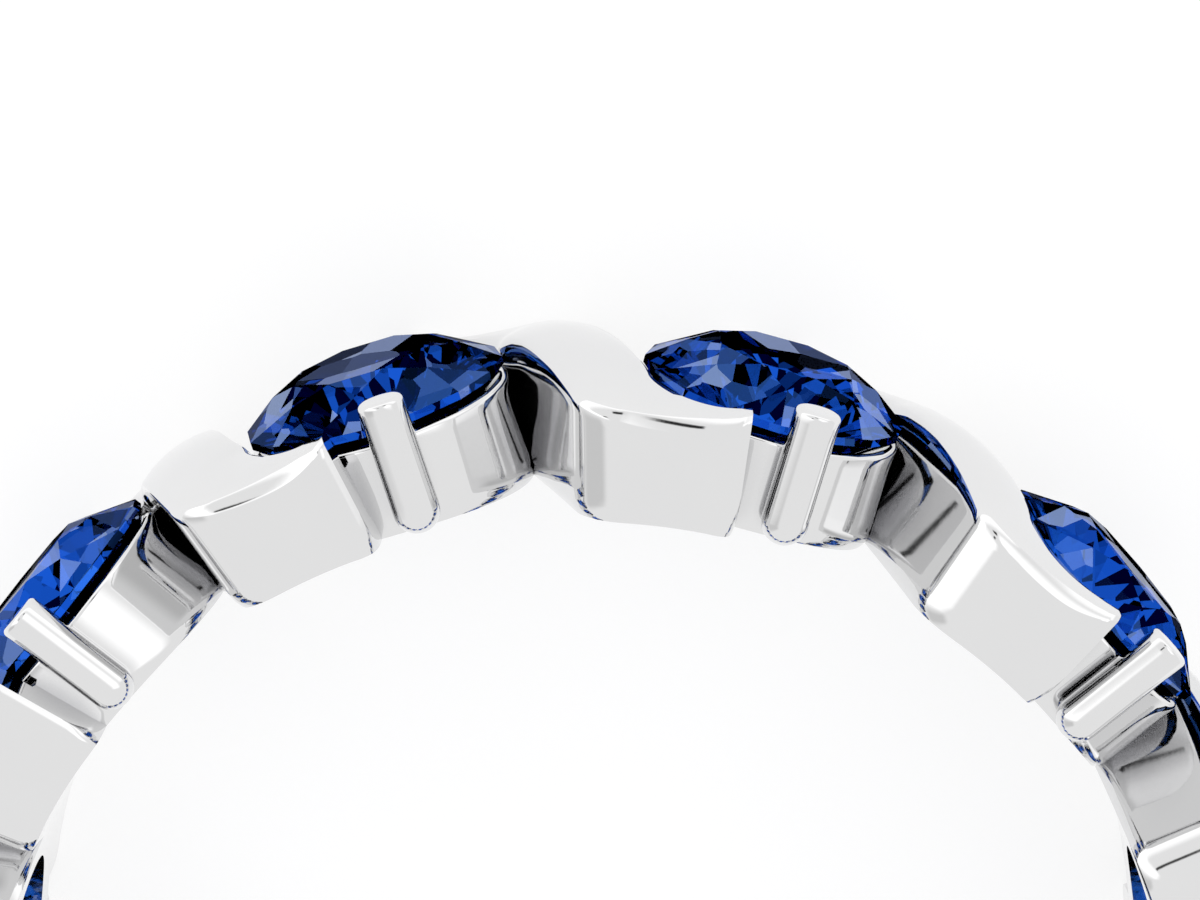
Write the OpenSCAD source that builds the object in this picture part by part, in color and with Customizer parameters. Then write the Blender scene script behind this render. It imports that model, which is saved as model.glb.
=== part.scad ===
// Eternity ring: round stones in open cups, joined by S-shaped links.
// The ring lies on its side. Its axis is +Z and it rests on z = 0, millimetres.
// Each stone, cup and prong stands along its own spoke from the ring's axis,
// and each link stands along the spoke half way between two stones.

/* [Ring] */
// Inside diameter, where the finger goes
finger_d = 17; // [16.6:0.1:18.4]
// Width of the ring along the finger
band_w = 4.96; // [4.94:0.02:5.4]

/* [Stones] */
// Diameter of each stone at its girdle
stone_d = 3.8; // [3.6:0.02:3.9]
// Height of the girdle's middle above the finger
girdle_h = 1.51; // [1.48:0.01:1.7]
// Thickness of the girdle
girdle_t = 0.11; // [0.06:0.01:0.16]
// Diameter of the table
table_d = 2.05; // [1.8:0.05:2.4]
// Height of the crown above the girdle
crown_h = 0.53; // [0.4:0.01:0.62]
// Depth of the pavilion below the girdle
pavilion_h = 1.42; // [1.3:0.01:1.44]

/* [Cups] */
// Outside diameter of a cup
cup_d = 3.8; // [3.7:0.02:3.9]
// Height of a cup's rim above the finger
rim_h = 1.32; // [1.25:0.01:1.36]
// Diameter of the hole through a cup
hole_d = 2.6; // [2:0.05:2.9]
// Chamfer around a cup's rim
rim_chamfer = 0.07; // [0.03:0.01:0.1]

/* [Prongs] */
// Diameter of a prong
prong_d = 0.65; // [0.55:0.01:0.72]
// Height of the upper prongs' flat tops above the finger
prong_h = 1.97; // [1.85:0.01:2.1]
// Height of the lower prongs' flat tops above the finger
low_prong_h = 1.7; // [1.64:0.01:2.1]
// Distance of a prong from its stone's middle line, along the band
prong_offset = 0.4; // [0.3:0.01:0.48]
// Distance of a prong's middle line outside the cup's wall
prong_out = 0.235; // [0.2:0.005:0.25]
// Round of a prong's top edge
prong_round = 0.08; // [0.04:0.01:0.12]

/* [Links] */
// Height of a link's crest above the finger
crest_h = 2.02; // [1.9:0.01:2.15]
// Height of a link's tips above the finger
tip_h = 1.45; // [1.35:0.01:1.55]
// Distance of a link's tip from the stone's middle line
tip_back = 0.47; // [0.4:0.01:0.6]
// Lean of a link's end face over its height
tip_lean = 0.18; // [0:0.01:0.3]
// Bevel along a link's outer top edge
link_bevel = 0.14; // [0.08:0.01:0.18]
// Bevel of the upright corner of a link's tip
tip_bevel = 0.15; // [0.05:0.01:0.2]
// Chamfer along the edges next to the finger
edge_chamfer = 0.2; // [0.1:0.01:0.26]

/* [Fit] */
// Gap all round a stone in its seat
seat_gap = 0.03; // [0.02:0.005:0.05]
// Gap between a link's arm and the girdle
arm_gap = 0.1; // [0.06:0.01:0.14]

/* [Hidden] */
stones = 11;
pitch = 360 / stones;
half_pitch = pitch / 2;
round_fn = 96;
finger_r = finger_d / 2;
half_w = band_w / 2;
stone_r = stone_d / 2;
cup_r = cup_d / 2;
prong_r = prong_d / 2;
rim_r = finger_r + rim_h;
girdle_r = finger_r + girdle_h;
girdle_top = girdle_t / 2;
table_top = girdle_top + crown_h;
culet = -girdle_top - pavilion_h;
// Everything starts this deep inside the bore, which then cuts it clean.
root_r = finger_r - 0.6;
// The bore is cut past both faces by this much.
bore_over = 1;
// The prongs' round feet stay this far above the finger. The prongs stand at
// the cups, just inside the links' flat faces, which the ring rests on.
foot_gap = 0.02;
prong_side = cup_r + prong_out;
// The links' waist meets the ends of the cups at the finger and overlaps them.
waist_overlap = 0.06;
cup_foot = sqrt(finger_r * finger_r - cup_r * cup_r);
waist_x = cup_foot * sin(half_pitch) - cup_r * cos(half_pitch) + waist_overlap;
crest_y = finger_r + crest_h;
tip_y = finger_r + tip_h;
tip_x = (tip_y * sin(half_pitch) - tip_back) / cos(half_pitch);
// The arms' inner walls run inside the walls of the cups.
embed_r = cup_r - 0.1;
embed_y = finger_r + 0.76 * rim_h;

// Facets of a stone: eight mains, with a point of the girdle every half step.
MAINS = 8;
STEP = 360 / MAINS;
star_r = table_d / 2 + 0.42 * (stone_r - table_d / 2);
lower_r = 0.24 * stone_r;

// Sections of a link from its middle to its near tip. The far half is the same
// turned half round. Columns: outer_x, share of the way from waist to tip;
// outer_z, share of the half width; inner_x, share of the way from waist to
// arm; inner_z, share of the half width; turn, degrees round the cup where the
// inner wall follows it, or 0; outer_top, middle_top and inner_top, shares of
// the way from the tip's height to the crest's; bevel and foot, shares of the
// bevel and of the inner wall's chamfer.
LINK = [
    [-0.02, 0.089, 0.093, -0.089, 0, 0.75, 1.0, 0.75, 0.2, 1.0],
    [0.04, 0.286, 0.32, 0.073, 0, 0.74, 0.97, 0.72, 0.2, 0.7],
    [0.10, 0.504, 0.54, 0.202, 0, 0.65, 0.88, 0.61, 0.2, 0.3],
    [0.175, 0.734, 0.79, 0.318, 0, 0.48, 0.72, 0.44, 0.25, 0.0],
    [0.26, 0.915, 1.0, 0.4, 33, 0.30, 0.48, 0.28, 0.35, 0.0],
    [0.35, 0.99, 1.0, 0.5, 45, 0.18, 0.28, 0.13, 0.6, 0.0],
    [0.46, 1.0, 1.0, 0.57, 53, 0.02, 0.12, 0.06, 0.85, 0.0],
    [0.62, 1.0, 1.0, 0.63, 61, -0.11, 0.02, 0.03, 1.0, 0.0],
    [0.80, 1.0, 1.0, 0.7, 70, -0.14, -0.02, 0.01, 1.0, 0.0],
    [0.93, 1.0, 1.0, 0.715, 77, -0.05, 0.0, 0.0, 0.8, 0.0],
    [1.0, 1.0, 1.0, 0.72, 80, 0.04, 0.04, 0.0, 0.5, 0.0],
];
OUTER_X = 0;
OUTER_Z = 1;
INNER_X = 2;
INNER_Z = 3;
TURN = 4;
OUTER_TOP = 5;
MIDDLE_TOP = 6;
INNER_TOP = 7;
BEVEL = 8;
FOOT = 9;
LAST = len(LINK) - 1;
RING = 9;

// Places its children on a spoke, the given number of steps round the ring.
module spoke(steps) {
    translate([0, 0, half_w])
        rotate([0, 0, -steps * pitch])
            children();
}

// Turns a shape that stands up in +Z so that it stands out along the spoke.
module outward() {
    rotate([-90, 0, 0])
        children();
}

// Where the inner wall of an arm crosses a section, as seen along the spoke.
function embed_x(turn) =
    embed_y * tan(half_pitch) - embed_r * cos(turn) / cos(half_pitch);

arm_x = embed_x(LINK[4][TURN]);

// Outer and inner corner of a section, in plan.
function inner_xz(row) =
    row[TURN] > 0
        ? [embed_x(row[TURN]), embed_r * sin(row[TURN])]
        : [waist_x + row[INNER_X] * (arm_x - waist_x), row[INNER_Z] * half_w];
function outer_xz(i) =
    i == 0
        ? -inner_xz(LINK[0])
        : [
            -waist_x + LINK[i][OUTER_X] * (tip_x + waist_x),
            LINK[i][OUTER_Z] * half_w - (i == LAST ? tip_bevel : 0)
        ];

function top_y(share) = tip_y + share * (crest_y - tip_y);
function foot_y(x) = sqrt(finger_r * finger_r - x * x) + 1.75 * edge_chamfer;
// Moves a corner across its section, towards the other corner.
function inset(from, to, by) = from + (to - from) * by / norm(to - from);
function place(xz, y, lean) = [xz[0] - lean, y, xz[1]];

// One section of the near half: foot, wall, bevel, middle, and back down.
function section(i) =
    let (
        row = LINK[i],
        out = outer_xz(i),
        in = inner_xz(row),
        bevel = link_bevel * row[BEVEL],
        depth = 2.7 * edge_chamfer,
        lean = i == LAST ? tip_lean : 0,
        out_y = top_y(row[OUTER_TOP]),
        in_y = top_y(row[INNER_TOP]),
        // The inner wall's top edge is as sharp as the middle section's.
        edge = link_bevel * LINK[0][BEVEL]
    )
    [
        place(inset(out, in, depth), root_r, lean),
        place(out, foot_y(out[0]), lean),
        place(out, out_y - bevel, 0),
        place(inset(out, in, bevel), out_y, 0),
        place((out + in) / 2, top_y(row[MIDDLE_TOP]), 0),
        place(inset(in, out, edge), in_y, 0),
        place(in, in_y - edge, 0),
        place(in, foot_y(in[0]), lean),
        place(inset(in, out, depth * row[FOOT]), root_r, lean)
    ];

// The same section of the far half, its points in the near half's order.
function far_section(i) =
    let (near = section(i))
    [for (k = [RING - 1:-1:0]) [-near[k][0], near[k][1], -near[k][2]]];

module link_body() {
    sections = concat(
        [for (i = [LAST:-1:1]) far_section(i)],
        [for (i = [0:LAST]) section(i)]
    );
    spans = len(sections) - 1;
    points = [for (ring = sections) each ring];
    sides = [
        for (s = [0:spans - 1])
            for (k = [0:RING - 1])
                let (a = s * RING + k, b = s * RING + (k + 1) % RING)
                each [[a, b, b + RING], [a, b + RING, a + RING]]
    ];
    far_cap = [[for (k = [RING - 1:-1:0]) k]];
    near_cap = [[for (k = [0:RING - 1]) spans * RING + k]];
    polyhedron(points, concat(far_cap, sides, near_cap), convexity = 6);
}

// A link with its arms cut back to clear the two stones beside it.
module link() {
    difference() {
        link_body();
        for (side = [-1, 1])
            rotate([0, 0, -side * half_pitch])
                translate([0, rim_r - 2 * rim_chamfer, 0])
                    outward()
                        cylinder(h = 2 * crown_h + girdle_h, r = stone_r + arm_gap, $fn = round_fn);
    }
}

module cup() {
    outward()
        rotate_extrude($fn = round_fn)
            polygon([
                [0, root_r],
                [cup_r, root_r],
                [cup_r, rim_r - rim_chamfer],
                [cup_r - rim_chamfer, rim_r],
                [0, rim_r]
            ]);
}

module prong(height) {
    foot = finger_r + prong_r + foot_gap;
    top = finger_r + height;
    ball = [for (a = [-90:15:0]) [prong_r * cos(a), foot + prong_r * sin(a)]];
    edge = [for (a = [0:30:90])
        [prong_r - prong_round * (1 - cos(a)), top - prong_round * (1 - sin(a))]];
    outward()
        rotate_extrude($fn = round_fn)
            polygon(concat(ball, edge, [[0, top]]));
}

// Room for a stone: the hole through the cup, the seat below the girdle, a
// groove for the girdle in the prongs, and the crown.
module seat() {
    low = -girdle_top - seat_gap;
    high = girdle_top + seat_gap;
    wide = stone_r + seat_gap;
    slope = pavilion_h / stone_r;
    outward()
        translate([0, 0, girdle_r])
            rotate_extrude($fn = round_fn)
                polygon([
                    [0, root_r - girdle_r - 1],
                    [hole_d / 2, root_r - girdle_r - 1],
                    [hole_d / 2, low - (wide - hole_d / 2) * slope],
                    [wide, low],
                    [wide, high],
                    [table_d / 2 + seat_gap, table_top + seat_gap],
                    [0, table_top + seat_gap]
                ]);
}

module band() {
    color("gainsboro")
        difference() {
            union() {
                for (i = [0:stones - 1])
                    spoke(i)
                        link();
                for (i = [0:stones - 1])
                    spoke(i + 0.5) {
                        cup();
                        for (side = [-1, 1])
                            translate([side * prong_offset, 0, side * prong_side])
                                prong(side > 0 ? prong_h : low_prong_h);
                    }
            }
            for (i = [0:stones - 1])
                spoke(i + 0.5)
                    seat();
            translate([0, 0, -bore_over])
                cylinder(h = band_w + 2 * bore_over, r = finger_r, $fn = round_fn);
        }
}

// A point of a stone at a number of half steps round it.
function facet_point(half_steps, radius, height) =
    let (a = half_steps * STEP / 2)
    [radius * cos(a), radius * sin(a), height];

// Height at a radius on the straight line between two points of a main facet.
function on_line(radius, r1, h1, r2, h2) = h1 + (radius - r1) * (h2 - h1) / (r2 - r1);

// A round brilliant. The mains stand at the odd half steps, so that two sides
// of the table run along the band.
module brilliant() {
    table_r = table_d / 2;
    star_h = on_line(star_r * cos(STEP / 2), table_r, table_top, stone_r, girdle_top);
    lower_h = on_line(lower_r * cos(STEP / 2), 0, culet, stone_r, -girdle_top);
    table = [for (i = [0:MAINS - 1]) facet_point(2 * i + 1, table_r, table_top)];
    stars = [for (i = [0:MAINS - 1]) facet_point(2 * i, star_r, star_h)];
    upper = [for (i = [0:2 * MAINS - 1]) facet_point(i, stone_r, girdle_top)];
    under = [for (i = [0:2 * MAINS - 1]) facet_point(i, stone_r, -girdle_top)];
    lowers = [for (i = [0:MAINS - 1]) facet_point(2 * i, lower_r, lower_h)];
    // First index of each group of points.
    star = MAINS;
    up = 2 * MAINS;
    down = 4 * MAINS;
    lower = 6 * MAINS;
    tip = 7 * MAINS;
    faces = concat(
        [[for (i = [MAINS - 1:-1:0]) i]],
        [for (i = [0:MAINS - 1])
            let (
                n = (i + 1) % MAINS,
                main = 2 * i + 1,
                next = 2 * n
            )
            each [
                [i, star + n, up + main],
                [i, up + main, star + i],
                [i, n, star + n],
                [star + i, up + main, up + 2 * i],
                [star + n, up + next, up + main],
                [up + 2 * i, up + main, down + main, down + 2 * i],
                [up + main, up + next, down + next, down + main],
                [lower + i, down + 2 * i, down + main],
                [lower + n, down + main, down + next],
                [tip, lower + i, down + main],
                [tip, down + main, lower + n]
            ]]
    );
    polyhedron(concat(table, stars, upper, under, lowers, [[0, 0, culet]]), faces, convexity = 2);
}

// The stone at a place in the row, counted clockwise from the first link.
module sapphire(place) {
    color("midnightblue")
        spoke(place - 0.5)
            translate([0, girdle_r, 0])
                outward()
                    brilliant();
}

band();
sapphire(1);  // sapphire_01
sapphire(2);  // sapphire_02
sapphire(3);  // sapphire_03
sapphire(4);  // sapphire_04
sapphire(5);  // sapphire_05
sapphire(6);  // sapphire_06
sapphire(7);  // sapphire_07
sapphire(8);  // sapphire_08
sapphire(9);  // sapphire_09
sapphire(10);  // sapphire_10
sapphire(11);  // sapphire_11
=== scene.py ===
import math

import bmesh
import bpy
import numpy as np
from mathutils import Matrix, Vector


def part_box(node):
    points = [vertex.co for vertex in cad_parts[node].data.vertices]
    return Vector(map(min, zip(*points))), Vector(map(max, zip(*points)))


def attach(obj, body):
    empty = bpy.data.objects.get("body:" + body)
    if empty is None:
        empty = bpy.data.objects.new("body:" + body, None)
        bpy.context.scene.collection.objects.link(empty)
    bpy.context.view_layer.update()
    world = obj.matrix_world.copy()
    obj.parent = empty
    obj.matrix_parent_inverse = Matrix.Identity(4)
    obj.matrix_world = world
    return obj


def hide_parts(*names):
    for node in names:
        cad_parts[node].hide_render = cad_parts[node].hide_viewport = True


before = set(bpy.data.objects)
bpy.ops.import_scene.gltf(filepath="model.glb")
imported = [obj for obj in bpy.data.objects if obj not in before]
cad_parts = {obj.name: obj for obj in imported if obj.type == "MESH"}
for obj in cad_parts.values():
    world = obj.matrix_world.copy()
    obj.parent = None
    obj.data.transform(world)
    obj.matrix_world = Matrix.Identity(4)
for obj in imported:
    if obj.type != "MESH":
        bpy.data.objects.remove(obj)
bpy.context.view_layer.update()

# The ring lies on its side, its axis along +Z. Sizes are in millimetres and are
# brought to metres when a mesh is finished. A spoke is a line from the ring's
# axis: a point on one is (along the band, out from the axis, up).
MM = 0.001
STONES = 11
PITCH = 2 * math.pi / STONES
HALF_PITCH = PITCH / 2

# The sizes of the part's source: half the band's width, the finger's wall and the
# stones. GIRDLE_R is a girdle's distance from the axis, GIRDLE_TOP half its thickness.
band_low, band_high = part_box("band")
HALF_W = (band_high.z - band_low.z) / 2 / MM
FINGER_R = 8.5
STONE_R = 1.9
GIRDLE_R = FINGER_R + 1.51
GIRDLE_TOP = 0.055
CROWN_H = 0.53
PAVILION_H = 1.42
TABLE_D = 2.05
SEAT_GAP = 0.03

# Cups: their wall, their rim and the hole below the stone.
CUP_R = 1.9
# The middle of the cup's solid, which the seat takes away.
CUP_CORE_R = 0.8
RIM_R = FINGER_R + 1.32
RIM_ROUND = 0.07
HOLE_R = 1.3
# Where the cup and the hole below the stone start, inside what the bore takes away.
CUP_START = FINGER_R - 1.2
HOLE_START = FINGER_R - 2

# Prongs: the tops of the upper and the lower ones, and how far they stand from the
# stone's axis along the band and across it.
PRONG_R = 0.325
PRONG_TOP = FINGER_R + 1.97
LOW_PRONG_TOP = FINGER_R + 1.7
PRONG_OFFSET = 0.4
PRONG_SIDE = CUP_R + 0.235
PRONG_ROUND = 0.08
PRONG_FOOT = FINGER_R + PRONG_R + 0.02
# The top's inner row of points, as a share of the prong's radius.
PRONG_FLAT = 0.6
# The foot's round starts at this angle, in degrees, just beside its middle.
PRONG_FOOT_START = -80

# Arms: a link's ends, which curve round the stones and stand on the cups' walls.
# They run on into the walls, and their feet a little further.
ARM_R = STONE_R + 0.1
EMBED_R = CUP_R - 0.12
FOOT_R = CUP_R - 0.45
# The arm widens from its foot to where it lies in the cup's wall over this height.
FOOT_BLEND = 0.45
# Height of the ledge where an arm meets the cup's wall, and its drop on the way in.
LEDGE_Y = RIM_R - 0.14
LEDGE_DROP = 0.06

# Round of every edge next to the finger. It is sunk below the finger's wall, so that
# the bore cuts it off before it turns in. The solids reach down to the root's depth.
EDGE_ROUND = 0.45
EDGE_SINK = 0.22
ROOT_DEPTH = 0.35
# Least distance between two rows of points that must not fall together.
APART = 0.02

# Plan of a link's outer wall, seen along its spoke: a straight stretch, an arc
# and the flat face, which ends in a bevel at the tip.
WALL_ANGLE = math.radians(70.5)
WALL_START = (-0.635, 0.22)
WALL_ARC_R = 0.7
TIP_X = 2.44
TIP_BEVEL = 0.12
TIP_SLOPE = math.radians(25)
TIP_ROUND = 0.45
# The tip's face leans back by this much at its foot's height above the finger, and
# the walls lean with it over this length.
TIP_LEAN = 0.17
TIP_FOOT = 0.27
LEAN_LENGTH = 0.9
EDGE_SOFT = 0.018
LEAST_BEVEL = 0.03
# Drop of a bevel's middle corners, and of the inner edge, as shares of their rounds.
CORNER_SHARE = 0.7
SOFT_SHARE = 0.4
# Along the wall, where it passes from a free wall to the arm beside a stone.
ARM_BLEND = (1.5, 2.24)
# Along the wall, where the inner edge passes from a small round to its own.
SOFT_BLEND = (0, 1)
# Along the far half's outer wall, where it carries on the inner wall's plan.
FAR_PLACES = (1.7, 1.1, 0.55)

# How finely the shapes are divided.
CUP_STEPS = 144
PRONG_STEPS = 64
SEAT_STEPS = 112
BORE_STEPS = 264
BORE_ROWS = 24
BORE_OVERRUN = 1
FOOT_STEPS = 8
PRONG_FOOT_STEPS = 14
RIM_STEPS = 6
TOP_STEPS = 10
STRAIGHT_STEPS = 14
ARC_STEPS = 13
FACE_STEPS = 13
TIP_STEPS = 13
# The tip's first row lies just before its round, by these degrees of the round.
TIP_START = -4
# Rows of points in a plain wall, as shares of its height.
WALL_ROWS = (0.1, 0.5, 0.9)
PRONG_ROWS = (0.1, 0.5, 0.95)
SHARP_ANGLE = 22
# Points nearer than this are joined.
SAME_POINT = 1e-6

# Rows from a link's middle to its near tip: along, the way along
# the outer wall; inner_x and inner_z, the inner wall's top edge; outer, middle
# and inner, heights of the top face above the finger; bevel, its outer bevel;
# soft, the round of its inner edge. The far half is the same turned half round.
ALONG, INNER_X, INNER_Z, OUTER, MIDDLE, INNER, BEVEL, SOFT = range(8)
LINK = [
    (0.00, 0.635, -0.22, 1.885, 2.02, 1.885, 0.02, 0.02),
    (0.52, 0.778, 0.18, 1.87, 2.005, 1.86, 0.02, 0.03),
    (1.09, 0.92, 0.50, 1.82, 1.95, 1.80, 0.03, 0.05),
    (1.70, 1.084, 0.79, 1.725, 1.86, 1.70, 0.05, 0.09),
    (2.24, 1.22, 1.09, 1.63, 1.745, 1.61, 0.08, 0.11),
    (2.58, 1.44, 1.38, 1.55, 1.635, 1.54, 0.10, 0.12),
    (2.91, 1.64, 1.56, 1.47, 1.555, 1.49, 0.12, 0.12),
    (3.39, 1.87, 1.72, 1.39, 1.475, 1.46, 0.14, 0.12),
    (3.93, 2.14, 1.85, 1.36, 1.43, 1.445, 0.14, 0.11),
    (4.30, 2.35, 1.92, 1.40, 1.44, 1.445, 0.11, 0.10),
    (4.584, 2.44, 1.95, 1.45, 1.455, 1.445, 0.07, 0.09),
]


def spline(points):
    """Natural cubic spline through (place, value) points."""
    xs, ys = np.array(points, float).T
    n = len(xs)
    h = np.diff(xs)
    m = np.eye(n)
    r = np.zeros(n)
    for i in range(1, n - 1):
        m[i, i - 1:i + 2] = h[i - 1], 2 * (h[i - 1] + h[i]), h[i]
        r[i] = 3 * ((ys[i + 1] - ys[i]) / h[i] - (ys[i] - ys[i - 1]) / h[i - 1])
    c = np.linalg.solve(m, r)

    def at(s):
        k = int(np.clip(np.searchsorted(xs, s) - 1, 0, n - 2))
        d = s - xs[k]
        b = (ys[k + 1] - ys[k]) / h[k] - h[k] * (2 * c[k] + c[k + 1]) / 3
        return ys[k] + b * d + c[k] * d ** 2 + (c[k + 1] - c[k]) / (3 * h[k]) * d ** 3

    return at


def smooth_step(value, low, high):
    """From 0 at low to 1 at high, level at both ends."""
    t = min(1.0, max(0.0, (value - low) / (high - low)))
    return t * t * (3 - 2 * t)


def mix(a, b, share):
    """The value a share of the way from a to b."""
    return a + (b - a) * share


def arc(cx, cy, radius, start, end, steps):
    """Points on an arc, angles in degrees."""
    angles = np.radians(np.linspace(start, end, steps))
    return [(cx + radius * math.cos(a), cy + radius * math.sin(a)) for a in angles]


def bore_y(x):
    """Height of the finger's wall at a distance along the band."""
    return math.sqrt(FINGER_R ** 2 - x * x)


def make_object(name, verts, faces):
    """An object with equal points joined and its faces turned outwards."""
    mesh = bpy.data.meshes.new(name)
    mesh.from_pydata([tuple(v) for v in verts], [], faces)
    bm = bmesh.new()
    bm.from_mesh(mesh)
    bmesh.ops.remove_doubles(bm, verts=bm.verts, dist=SAME_POINT)
    bmesh.ops.recalc_face_normals(bm, faces=bm.faces)
    bm.to_mesh(mesh)
    bm.free()
    made = bpy.data.objects.new(name, mesh)
    bpy.context.scene.collection.objects.link(made)
    return made


def tube(name, rings):
    """A closed solid through rings of points of one size, capped at both ends."""
    size = len(rings[0])
    verts = [point for ring in rings for point in ring]
    faces = [tuple(range(size - 1, -1, -1))]
    for a in range(0, size * (len(rings) - 1), size):
        for k in range(size):
            n = (k + 1) % size
            faces.append((a + k, a + n, a + n + size, a + k + size))
    faces.append(tuple(size * (len(rings) - 1) + k for k in range(size)))
    return make_object(name, verts, faces)


def turned(name, profile, steps):
    """A solid turned round the spoke, from (radius, height) points or a function of the angle."""
    verts, faces = [], []
    for s in range(steps):
        a = 2 * math.pi * s / steps
        points = profile(a) if callable(profile) else profile
        verts += [(r * math.cos(a), y, r * math.sin(a)) for r, y in points]
    size = len(verts) // steps
    for s in range(steps):
        a, b = s * size, (s + 1) % steps * size
        for k in range(size - 1):
            faces.append((a + k, a + k + 1, b + k + 1, b + k))
    faces.append(tuple(s * size for s in range(steps)))
    faces.append(tuple(s * size + size - 1 for s in reversed(range(steps))))
    return make_object(name, verts, faces)


def cup():
    """A cup whose foot is rounded where its wall meets the finger's wall."""
    deep = CUP_R - EDGE_ROUND

    def profile(angle):
        along = math.cos(angle)
        points = [(CUP_CORE_R, CUP_START), (deep, bore_y(deep * along) - ROOT_DEPTH)]
        for t in np.radians(np.linspace(0, 90, FOOT_STEPS)):
            r = deep + EDGE_ROUND * math.sin(t)
            points.append((r, bore_y(r * along) - EDGE_SINK + EDGE_ROUND * (1 - math.cos(t))))
        low, high = points[-1][1], RIM_R - RIM_ROUND
        points += [(CUP_R, mix(low, high, share)) for share in WALL_ROWS]
        points += arc(CUP_R - RIM_ROUND, high, RIM_ROUND, 0, 90, RIM_STEPS)
        return points + [(CUP_CORE_R, RIM_R)]

    return turned("cup", profile, CUP_STEPS)


def prong(top):
    """A round post with a domed foot and a flat top with a soft edge."""
    high = top - PRONG_ROUND
    profile = arc(0, PRONG_FOOT, PRONG_R, PRONG_FOOT_START, 0, PRONG_FOOT_STEPS)
    profile += [(PRONG_R, mix(PRONG_FOOT, high, share)) for share in PRONG_ROWS]
    profile += arc(PRONG_R - PRONG_ROUND, high, PRONG_ROUND, 0, 90, RIM_STEPS)
    return turned("prong", profile + [(PRONG_FLAT * PRONG_R, top)], PRONG_STEPS)


def seat():
    """Room for a stone, and the hole below it."""
    wide = STONE_R + SEAT_GAP
    low = GIRDLE_R - GIRDLE_TOP - SEAT_GAP
    high = GIRDLE_R + GIRDLE_TOP + SEAT_GAP
    slope = PAVILION_H / STONE_R
    profile = [
        (HOLE_R, HOLE_START),
        (HOLE_R, low - (wide - HOLE_R) * slope),
        (wide, low),
        (wide, high),
        (TABLE_D / 2, high + CROWN_H),
    ]
    return turned("seat", profile, SEAT_STEPS)


def bore():
    """The finger's room, in short bands so that its wall shades evenly."""
    heights = np.linspace(-BORE_OVERRUN, 2 * HALF_W + BORE_OVERRUN, BORE_ROWS)
    angles = np.linspace(0, 2 * math.pi, BORE_STEPS, endpoint=False)
    circle = [(FINGER_R * math.cos(a), FINGER_R * math.sin(a)) for a in angles]
    return tube("bore", [[(x, y, z) for x, y in circle] for z in heights])


def wall_plan():
    """Where the outer wall's arc, flat face and bevel start, and the place at a way along it."""
    lean = np.array([math.cos(WALL_ANGLE), math.sin(WALL_ANGLE)])
    start = np.array(WALL_START)
    corner = start + lean * (HALF_W - start[1]) / lean[1]
    tangent = WALL_ARC_R * math.tan(WALL_ANGLE / 2)
    arc_start = (HALF_W - start[1]) / lean[1] - tangent
    arc_end = arc_start + WALL_ARC_R * WALL_ANGLE
    centre = np.array([corner[0] + tangent, HALF_W - WALL_ARC_R])
    bevel_start = arc_end + TIP_X - TIP_BEVEL - centre[0]

    def at(s):
        if s < arc_start:
            return start + lean * s
        if s < arc_end:
            a = (s - arc_start) / WALL_ARC_R + math.pi / 2 - WALL_ANGLE
            return centre + WALL_ARC_R * np.array([-math.cos(a), math.sin(a)])
        if s < bevel_start:
            return np.array([centre[0] + s - arc_end, HALF_W])
        past = s - bevel_start
        slope = np.array([math.cos(TIP_SLOPE), -math.sin(TIP_SLOPE)])
        return np.array([TIP_X - TIP_BEVEL, HALF_W]) + past * slope

    return arc_start, arc_end, bevel_start, at


ARC_START, ARC_END, BEVEL_START, outer_plan = wall_plan()
TIP_END = BEVEL_START + TIP_BEVEL / math.cos(TIP_SLOPE)


def column(name, across):
    """Spline of a column of LINK, carried on into the far half by the column across from it."""
    far = [(-row[ALONG], row[across]) for row in LINK[:0:-1]]
    return spline(far + [(row[ALONG], row[name]) for row in LINK])


def inner_plan(axis, name):
    """Spline of the inner wall's plan, carried on by the far half's outer wall."""
    far = [(-s, -outer_plan(s)[axis]) for s in FAR_PLACES]
    return spline(far + [(row[ALONG], row[name]) for row in LINK])


outer_top = column(OUTER, INNER)
middle_top = column(MIDDLE, MIDDLE)
inner_top = column(INNER, OUTER)
outer_bevel = column(BEVEL, SOFT)
inner_soft = column(SOFT, BEVEL)
inner_x = inner_plan(0, INNER_X)
inner_z = inner_plan(1, INNER_Z)


def across_stone(x, y, radius):
    """How far up a cylinder round the next stone's axis is met, at a place along the band."""
    aside = (y * math.tan(HALF_PITCH) - x) * math.cos(HALF_PITCH)
    return math.sqrt(max(radius ** 2 - aside ** 2, 0.0))


def foot_y(x, inside):
    """Height of a link's foot: rounded along its outer wall and at its tip."""
    side = min(EDGE_ROUND, max(0.0, EDGE_ROUND - inside))
    end = min(TIP_ROUND, max(0.0, TIP_ROUND - (TIP_X - x)))
    rise = EDGE_ROUND - math.sqrt(EDGE_ROUND ** 2 - side ** 2)
    return bore_y(x) - EDGE_SINK + rise + TIP_ROUND - math.sqrt(TIP_ROUND ** 2 - end ** 2)


def edge_points(bevel, soft):
    """A bevel with softened corners, as (in from the wall, down from the top)."""
    s = CORNER_SHARE * soft
    return [(0, bevel + soft), (s, bevel - s), (bevel - s, s), (bevel + soft, 0)]


def outer_side(outer, inward):
    """The outer wall's foot, as (plan, height), from deep in the bore or, at the tip, from its round."""
    deep = outer + inward * (EDGE_ROUND + APART)
    at_tip = TIP_X - deep[0] < TIP_ROUND
    points = [(deep, foot_y(deep[0], EDGE_ROUND) if at_tip else bore_y(deep[0]) - ROOT_DEPTH)]
    for t in np.radians(np.linspace(0, 90, FOOT_STEPS)):
        inside = EDGE_ROUND * (1 - math.sin(t))
        plan = outer + inward * inside
        points.append((plan, foot_y(plan[0], inside)))
    return points


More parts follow.
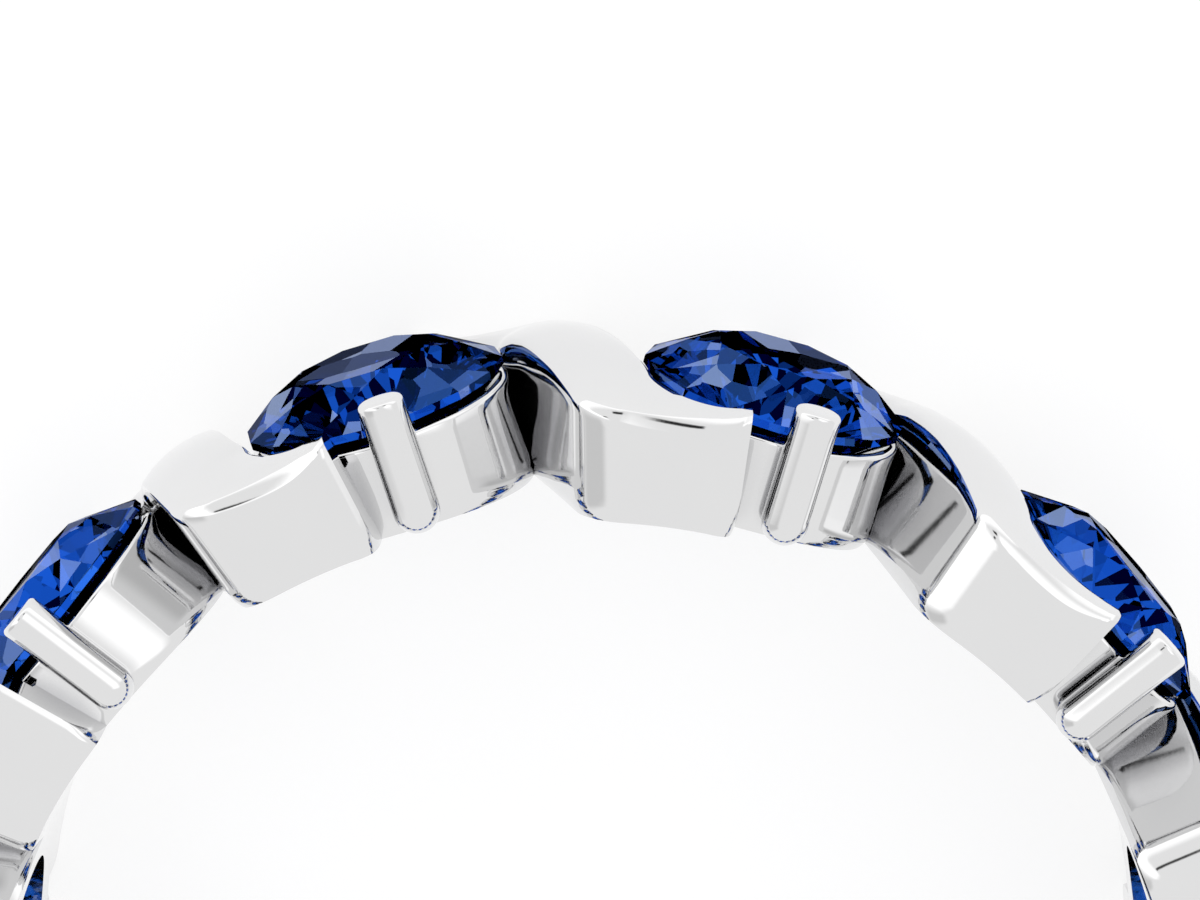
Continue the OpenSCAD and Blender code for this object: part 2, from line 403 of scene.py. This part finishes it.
def inner_side(inner, inward, high, arm):
    """Down the inner wall: a free wall at the middle, and along the arm a ledge on the cup."""
    in_x = inner[0]
    ledge = (LEDGE_Y - in_x * math.sin(HALF_PITCH)) / math.cos(HALF_PITCH)
    ledge = min(ledge, high - APART)
    base = bore_y(in_x)
    free = [(0, mix(high, foot_y(in_x, 0), share)) for share in WALL_ROWS]
    for t in np.radians(np.linspace(90, 0, FOOT_STEPS)):
        inside = EDGE_ROUND * (1 - math.sin(t))
        free.append((inside, foot_y(in_x, inside)))
    free.append((EDGE_ROUND + APART, base - ROOT_DEPTH))

    held = [(ARM_R, mix(high, ledge, 0.5)), (ARM_R, ledge), (EMBED_R, ledge - LEDGE_DROP)]
    for y in np.linspace(ledge - 2 * LEDGE_DROP, base, FOOT_STEPS):
        held.append((mix(FOOT_R, EMBED_R, smooth_step(y - base, 0, FOOT_BLEND)), y))
    held.append((FOOT_R, base - ROOT_DEPTH))

    points = []
    for (inside, y_free), (radius, y_held) in zip(free, held):
        if TIP_X - in_x < TIP_ROUND:
            y_held = max(y_held, foot_y(in_x, EDGE_ROUND))
        plan_held = np.array([in_x, across_stone(in_x, y_held, radius)])
        plan = mix(inner - inward * inside, plan_held, arm)
        points.append((plan, mix(y_free, y_held, arm)))
    return points


def link_ring(s):
    """One section of a link's near half, from its outer foot over the top to its inner foot."""
    outer = outer_plan(s)
    in_x = TIP_X if s >= TIP_END else min(inner_x(s), TIP_X)
    in_y = FINGER_R + inner_top(s)
    arm = smooth_step(s, *ARM_BLEND)
    in_z = mix(inner_z(s), across_stone(in_x, in_y, ARM_R), arm)
    inner = np.array([in_x, in_z])
    width = np.linalg.norm(inner - outer)
    inward = (inner - outer) / width
    heights = outer_top(s), middle_top(s), inner_top(s)

    def top_y(share):
        """Height of the top face, a parabola through its two edges and its middle."""
        o, m, i = heights
        rise = o * (1 - share) * (1 - 2 * share)
        return FINGER_R + rise + 4 * m * share * (1 - share) + i * share * (2 * share - 1)

    ring = outer_side(outer, inward)
    edge = edge_points(max(outer_bevel(s), LEAST_BEVEL), EDGE_SOFT)
    low, high = ring[-1][1], top_y(0) - edge[0][1]
    ring += [(outer, mix(low, high, share)) for share in WALL_ROWS]
    for inside, down in edge:
        ring.append((outer + inward * inside, top_y(inside / width) - down))

    soft = max(inner_soft(s), LEAST_BEVEL)
    edge = edge_points(soft, mix(EDGE_SOFT, SOFT_SHARE * soft, smooth_step(s, *SOFT_BLEND)))
    start, end = ring[-1][0], inner - inward * edge[-1][0]
    for share in np.linspace(0, 1, TOP_STEPS)[1:-1]:
        plan = mix(start, end, share)
        ring.append((plan, top_y(np.linalg.norm(plan - outer) / width)))
    for inside, down in reversed(edge):
        ring.append((inner - inward * inside, top_y(1 - inside / width) - down))
    ring += inner_side(inner, inward, ring[-1][1], arm)

    lean = TIP_LEAN * smooth_step(s, TIP_END - LEAN_LENGTH, TIP_END)
    top, span = FINGER_R + LINK[-1][OUTER], LINK[-1][OUTER] - TIP_FOOT
    return [(p[0] - lean * (top - y) / span, y, p[1]) for p, y in ring]


def link():
    """A whole S-shaped link, its far half the near one turned half round its spoke."""
    turns = np.radians(np.linspace(TIP_START, 90, TIP_STEPS))
    tip = [
        BEVEL_START + (TIP_BEVEL - left) / (1 if left > TIP_BEVEL else math.cos(TIP_SLOPE))
        for left in TIP_ROUND * (1 - np.sin(turns))
    ]
    stations = [
        *np.linspace(0, ARC_START, STRAIGHT_STEPS)[:-1],
        *np.linspace(ARC_START, ARC_END, ARC_STEPS)[:-1],
        *np.linspace(ARC_END, tip[0], FACE_STEPS)[:-1],
        *tip,
    ]
    near = [link_ring(s) for s in stations]
    far = [[(-x, y, -z) for x, y, z in reversed(ring)] for ring in near[:0:-1]]
    return tube("link", far + near)


def spoke(steps):
    """From a spoke's own directions to the ring's, a number of pitches clockwise from +Y."""
    turn = Matrix.Rotation(-steps * PITCH, 4, "Z")
    return Matrix.Translation((0, 0, HALF_W)) @ turn


def copies(source, places):
    """A copy of the mesh at each place, its source removed."""
    made = []
    for place in places:
        mesh = source.data.copy()
        mesh.transform(place)
        made.append(bpy.data.objects.new(source.name, mesh))
        bpy.context.scene.collection.objects.link(made[-1])
    bpy.data.objects.remove(source)
    return made


def combine(target, operation, others):
    """A boolean of closed solids; the others are used up."""
    group = bpy.data.collections.new(operation)
    bpy.context.scene.collection.children.link(group)
    for other in others:
        group.objects.link(other)
    change = target.modifiers.new(operation, "BOOLEAN")
    change.operation = operation
    change.operand_type = "COLLECTION"
    change.collection = group
    change.solver = "MANIFOLD"
    graph = bpy.context.evaluated_depsgraph_get()
    result = bpy.data.meshes.new_from_object(target.evaluated_get(graph))
    target.modifiers.clear()
    target.data = result
    for other in others:
        bpy.data.objects.remove(other)
    bpy.data.collections.remove(group)


def ring_metal():
    """Links, cups and prongs as one solid, with room for the stones and the finger."""
    gaps = [spoke(i) for i in range(STONES)]
    stones = [spoke(i + 0.5) for i in range(STONES)]
    upper = Matrix.Translation((PRONG_OFFSET, 0, PRONG_SIDE))
    lower = Matrix.Translation((-PRONG_OFFSET, 0, -PRONG_SIDE))
    solids = copies(link(), gaps) + copies(cup(), stones)
    solids += copies(prong(PRONG_TOP), [place @ upper for place in stones])
    solids += copies(prong(LOW_PRONG_TOP), [place @ lower for place in stones])
    metal = solids[0]
    combine(metal, "UNION", solids[1:])
    combine(metal, "DIFFERENCE", copies(seat(), stones) + [bore()])
    metal.data.transform(Matrix.Scale(MM, 4))
    return metal


def finish_mesh(obj, sharp_angle):
    """Smooth shading with sharp edges by angle, and normals that favour the large faces."""
    bm = bmesh.new()
    bm.from_mesh(obj.data)
    bmesh.ops.recalc_face_normals(bm, faces=bm.faces)
    for face in bm.faces:
        face.smooth = True
    for edge in bm.edges:
        edge.smooth = edge.calc_face_angle(math.pi) < sharp_angle
    bm.to_mesh(obj.data)
    bm.free()
    weigh = obj.modifiers.new("weighted normals", "WEIGHTED_NORMAL")
    weigh.mode = "FACE_AREA_WITH_ANGLE"
    weigh.keep_sharp = True
    graph = bpy.context.evaluated_depsgraph_get()
    result = bpy.data.meshes.new_from_object(obj.evaluated_get(graph))
    obj.modifiers.clear()
    obj.data = result


class Nodes:
    """Short calls for building a node tree."""

    def __init__(self, tree):
        self.tree = tree
        tree.nodes.clear()

    def add(self, kind, inputs=None, **settings):
        node = self.tree.nodes.new(kind)
        for name, value in settings.items():
            setattr(node, name, value)
        for name, value in (inputs or {}).items():
            self.put(node.inputs[name], value)
        return node

    def put(self, socket, value):
        if isinstance(value, bpy.types.NodeSocket):
            self.tree.links.new(value, socket)
        else:
            socket.default_value = value

    def math(self, operation, *values):
        node = self.add("ShaderNodeMath", operation=operation)
        for socket, value in zip(node.inputs, values):
            self.put(socket, value)
        return node.outputs[0]

    def ramp(self, value, low, high, to_low=0.0, to_high=1.0):
        """A smooth step from one value to another while the input goes from low to high."""
        node = self.add("ShaderNodeMapRange", interpolation_type="SMOOTHSTEP")
        names = "Value", "From Min", "From Max", "To Min", "To Max"
        for name, setting in zip(names, (value, low, high, to_low, to_high)):
            self.put(node.inputs[name], setting)
        return node.outputs[0]

    def tone(self, factor, low, high):
        """A colour between two others."""
        node = self.add("ShaderNodeMix", {"Factor": factor}, data_type="RGBA")
        self.put(node.inputs["A"], low)
        self.put(node.inputs["B"], high)
        return node.outputs["Result"]


METAL_TONES = (0.77, 0.77, 0.775, 1), (0.79, 0.79, 0.79, 1)
METAL_ROUGHNESS = (0.035, 0.06)
# Sizes of the uneven gloss and of the polishing marks, as noise scales per metre.
CLOUD_SCALE = 900.0
MARKS_SCALE = 9000.0
MARKS_STRENGTH = 0.012
MARKS_DEPTH = 0.00002
# Painted shade in tight recesses, where the metal's colour is darkened as if shade fell: the tone of that
# painted shade, how far it reaches, and the open shares of the sky between which the painted shade gives
# way.
PAINTED_SHADE_TONE = (0.58, 0.58, 0.59, 1)
PAINTED_SHADE_SAMPLES = 4
PAINTED_SHADE_REACH = 1.5
PAINTED_SHADE_OPEN = (0.15, 0.45)
# The middle part of a noise's or a chance's range, for a clearer contrast.
CONTRAST = (0.3, 0.7)


def white_metal():
    """Polished white metal: faint polishing marks, slightly uneven gloss and painted shade in tight
    recesses.
    """
    made = bpy.data.materials.new("white_metal")
    made.use_nodes = True
    n = Nodes(made.node_tree)
    place = n.add("ShaderNodeTexCoord").outputs["Object"]
    cloud = n.add("ShaderNodeTexNoise", {"Vector": place, "Scale": CLOUD_SCALE, "Detail": 3.0})
    cloud = cloud.outputs["Fac"]
    marks = n.add("ShaderNodeTexNoise", {"Vector": place, "Scale": MARKS_SCALE, "Detail": 2.0})
    bump = n.add("ShaderNodeBump", {
        "Height": marks.outputs["Fac"],
        "Strength": MARKS_STRENGTH,
        "Distance": MARKS_DEPTH,
    })
    # Painted shade: where nearby metal hides the sky, the colour is darkened towards the painted shade
    # tone.
    sky = n.add(
        "ShaderNodeAmbientOcclusion",
        {"Distance": PAINTED_SHADE_REACH * MM},
        samples=PAINTED_SHADE_SAMPLES,
        only_local=True,
    )
    # 1 in the open, 0 deep in a recess, where painted shade darkens the base colour.
    unshaded = n.ramp(sky.outputs["AO"], *PAINTED_SHADE_OPEN)
    shader = n.add("ShaderNodeBsdfPrincipled", {
        "Base Color": n.tone(unshaded, PAINTED_SHADE_TONE, n.tone(cloud, *METAL_TONES)),
        "Metallic": 1.0,
        "Roughness": n.ramp(cloud, *CONTRAST, *METAL_ROUGHNESS),
        "Normal": bump.outputs["Normal"],
    })
    out = n.add("ShaderNodeOutputMaterial")
    n.tree.links.new(shader.outputs[0], out.inputs["Surface"])
    return made


# Tones of the stones: light mirrored back inside, light let through, and gloss.
# Gloss grows to its larger share over one range of chances and pales over another.
BACK_TONES = (0.0, 0.002, 0.03, 1), (0.46, 0.62, 0.82, 1)
FRONT_TONES = (0.08, 0.26, 0.66, 1), (0.14, 0.38, 0.80, 1)
GLOSS_TONES = (0.06, 0.25, 1.0, 1), (0.36, 0.53, 1.0, 1)
GLOSS_CHANCE = (0.45, 1.0)
GLOSS_SHARE = (0.0, 0.48)
PALE_CHANCE = (0.7, 1.0)
SAPPHIRE_IOR = 1.77
# Each facet draws its chances by its direction, which is spread this far, so that
# even near directions differ. Mirrored light and gloss change within a facet too,
# in patches of this size.
FACET_SPREAD = 5.3
PATCH = 0.7


def sapphire():
    """Deep blue gem. Each facet has its own tones, and those below the girdle mirror the light inside."""
    made = bpy.data.materials.new("sapphire")
    made.use_nodes = True
    n = Nodes(made.node_tree)
    place = n.add("ShaderNodeTexCoord").outputs["Object"]
    split = n.add("ShaderNodeSeparateXYZ", {"Vector": place})
    x, y = split.outputs["X"], split.outputs["Y"]
    # The stone's spoke lies in the middle of its pitch.
    across = n.math("FRACT", n.math("DIVIDE", n.math("ARCTAN2", x, y), PITCH))
    aside = n.math("MULTIPLY", n.math("SUBTRACT", across, 0.5), PITCH)
    away = n.math("SQRT", n.math("ADD", n.math("MULTIPLY", x, x), n.math("MULTIPLY", y, y)))
    height = n.math("MULTIPLY", away, n.math("COSINE", aside))
    above = n.math("GREATER_THAN", height, GIRDLE_R * MM)
    side = n.add("ShaderNodeNewGeometry").outputs
    # The stone's outside and its crown, as opposed to the inside below the girdle.
    front = n.math("MAXIMUM", above, n.math("SUBTRACT", 1.0, side["Backfacing"]))

    facet = n.add("ShaderNodeVectorMath", operation="SCALE")
    n.put(facet.inputs[0], side["True Normal"])
    n.put(facet.inputs["Scale"], FACET_SPREAD)
    patch = n.add("ShaderNodeVectorMath", operation="MULTIPLY_ADD")
    n.put(patch.inputs[0], place)
    n.put(patch.inputs[1], (1 / (PATCH * MM),) * 3)
    n.put(patch.inputs[2], facet.outputs[0])

    def chance(vector):
        """Three numbers from 0 to 1, the same all over a cell."""
        cells = n.add("ShaderNodeTexVoronoi", {"Vector": vector, "Scale": 1.0})
        return n.add("ShaderNodeSeparateColor", {"Color": cells.outputs["Color"]}).outputs

    whole = chance(facet.outputs[0])
    part = chance(patch.outputs[0])
    back = n.add("ShaderNodeBsdfPrincipled", {
        "Base Color": n.tone(n.ramp(part["Red"], *CONTRAST), *BACK_TONES),
        "Metallic": 1.0,
        "Roughness": 0.0,
    })
    through = n.add("ShaderNodeBsdfRefraction", {
        "Color": n.tone(whole["Green"], *FRONT_TONES),
        "Roughness": 0.0,
        "IOR": SAPPHIRE_IOR,
    })
    gloss = n.add("ShaderNodeBsdfPrincipled", {
        "Base Color": n.tone(n.ramp(part["Blue"], *PALE_CHANCE), *GLOSS_TONES),
        "Metallic": 1.0,
        "Roughness": 0.0,
    })
    shine = n.ramp(part["Blue"], *GLOSS_CHANCE, *GLOSS_SHARE)
    fore = n.add("ShaderNodeMixShader", {"Fac": shine})
    both = n.add("ShaderNodeMixShader", {"Fac": front})
    out = n.add("ShaderNodeOutputMaterial")
    for target, low, high in ((fore, through, gloss), (both, back, fore)):
        n.put(target.inputs[1], low.outputs[0])
        n.put(target.inputs[2], high.outputs[0])
    n.put(out.inputs["Surface"], both.outputs[0])
    return made


# What the polished metal mirrors: a white room with soft panels, brighter and darker.
# Columns: azimuth from +Y towards +X, elevation, half width, half height, soft
# edge, all in degrees, and the panel's brightness. ROOM is that of all the rest.
PANELS = [
    (-68, 35, 16, 35, 8, 1.4),
    (-108, 28, 14, 24, 8, 0.70),
    (52, 50, 30, 16, 8, 1.35),
    (0, 8, 60, 15, 8, 1.3),
    (8, 38, 8, 4, 2, 0.03),
    (-35, 57, 12, 3, 2, 0.05),
]
ROOM = 0.955


def room():
    """White surroundings by direction."""
    world = bpy.data.worlds.new("room")
    bpy.context.scene.world = world
    world.use_nodes = True
    n = Nodes(world.node_tree)
    way = n.add("ShaderNodeTexCoord").outputs["Generated"]
    split = n.add("ShaderNodeSeparateXYZ", {"Vector": way})
    x, y, z = (split.outputs[k] for k in "XYZ")
    elevation = n.math("MULTIPLY", n.math("ARCSINE", z), math.degrees(1))
    bright = ROOM
    for azimuth, middle, wide, high, soft, value in PANELS:
        a = math.radians(azimuth)
        ahead = n.math("ADD", n.math("MULTIPLY", x, math.sin(a)), n.math("MULTIPLY", y, math.cos(a)))
        aside = n.math("SUBTRACT", n.math("MULTIPLY", x, math.cos(a)), n.math("MULTIPLY", y, math.sin(a)))
        turn = n.math("ABSOLUTE", n.math("MULTIPLY", n.math("ARCTAN2", aside, ahead), math.degrees(1)))
        rise = n.math("ABSOLUTE", n.math("SUBTRACT", elevation, middle))
        mask = n.math(
            "MULTIPLY",
            n.ramp(turn, wide - soft, wide + soft, 1.0, 0.0),
            n.ramp(rise, high - soft, high + soft, 1.0, 0.0),
        )
        change = n.math("SUBTRACT", 1.0, n.math("MULTIPLY", mask, 1 - value / ROOM))
        bright = n.math("MULTIPLY", bright, change)
    colour = n.add("ShaderNodeCombineColor", {"Red": bright, "Green": bright, "Blue": bright})
    back = n.add("ShaderNodeBackground", {"Color": colour.outputs[0], "Strength": 1.0})
    out = n.add("ShaderNodeOutputWorld")
    n.tree.links.new(back.outputs[0], out.inputs["Surface"])


# The floor lies just under the links' faces. Its size and drop are in metres.
FLOOR_SIZE = 2.0
FLOOR_DROP = 0.00002
FLOOR_GREYS = (0.28, 0.32)
FLOOR_GRAIN = 60.0
FLOOR_ROUGHNESS = 0.9
FLOOR_GLOW = 0.74


def floor():
    """Plain pale paper, which glows a little so that it stays even and nearly white."""
    bpy.ops.mesh.primitive_plane_add(size=FLOOR_SIZE, location=(0, 0, -FLOOR_DROP))
    made = bpy.context.object
    made.name = "floor"
    paper = bpy.data.materials.new("paper")
    paper.use_nodes = True
    n = Nodes(paper.node_tree)
    place = n.add("ShaderNodeTexCoord").outputs["Object"]
    grain = n.add("ShaderNodeTexNoise", {"Vector": place, "Scale": FLOOR_GRAIN, "Detail": 2.0})
    shade = n.ramp(grain.outputs["Fac"], 0.0, 1.0, *FLOOR_GREYS)
    colour = n.add("ShaderNodeCombineColor", {"Red": shade, "Green": shade, "Blue": shade})
    shader = n.add("ShaderNodeBsdfPrincipled", {
        "Base Color": colour.outputs[0],
        "Roughness": FLOOR_ROUGHNESS,
        "Specular IOR Level": 0.0,
        "Emission Color": (1, 1, 1, 1),
        "Emission Strength": FLOOR_GLOW,
    })
    out = n.add("ShaderNodeOutputMaterial")
    n.tree.links.new(shader.outputs[0], out.inputs["Surface"])
    made.data.materials.append(paper)


LAMP_PLACE = (0.0, -0.1, 0.9)
LAMP_SIZE = 0.6
LAMP_POWER = 0.3


def light():
    """A broad soft light high over the ring. The metal doesn't mirror it."""
    lamp = bpy.data.lights.new("soft_light", "AREA")
    lamp.shape = "DISK"
    lamp.size = LAMP_SIZE
    lamp.energy = LAMP_POWER
    made = bpy.data.objects.new("soft_light", lamp)
    bpy.context.scene.collection.objects.link(made)
    made.matrix_world = Matrix.Translation(LAMP_PLACE)
    made.visible_glossy = False


# The camera was worked out from the photograph's perspective: focal length in
# pixels of a 1200 wide picture, turns of the ring in front of it in degrees, and
# the place of the ring's middle in bore radii.
FOCAL_PX = 2840.3
PICTURE_W = 1200
SENSOR_W = 36
TURNS = ((0.628, "Z"), (-0.897, "Y"), (16.141, "X"))
RING_PLACE = Vector((-0.0263, -0.9943, -5.0446)) * FINGER_R
CLIP_START = 0.001
CLIP_END = 10


def camera():
    """The photograph's viewpoint: the ring's turns, undone, turn the camera."""
    turn = Matrix.Identity(3)
    for angle, axis in TURNS:
        turn = turn @ Matrix.Rotation(math.radians(angle), 3, axis)
    back = turn.transposed()
    place = Vector((0, 0, HALF_W)) - back @ RING_PLACE
    data = bpy.data.cameras.new("camera")
    data.sensor_width = SENSOR_W
    data.lens = FOCAL_PX / PICTURE_W * SENSOR_W
    data.clip_start = CLIP_START
    data.clip_end = CLIP_END
    made = bpy.data.objects.new("camera", data)
    bpy.context.scene.collection.objects.link(made)
    made.matrix_world = Matrix.Translation(place * MM) @ back.to_4x4()
    bpy.context.scene.camera = made


metal = ring_metal()
finish_mesh(metal, math.radians(SHARP_ANGLE))
metal.name = metal.data.name = "ring_metal"
metal.data.materials.clear()
metal.data.materials.append(white_metal())
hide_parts("band")
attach(metal, "root")

gem = sapphire()
for i in range(1, STONES + 1):
    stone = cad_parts[f"sapphire_{i:02}"]
    stone.data.materials.clear()
    stone.data.materials.append(gem)

room()
floor()
light()
camera()
bpy.context.scene.view_settings.view_transform = "Standard"
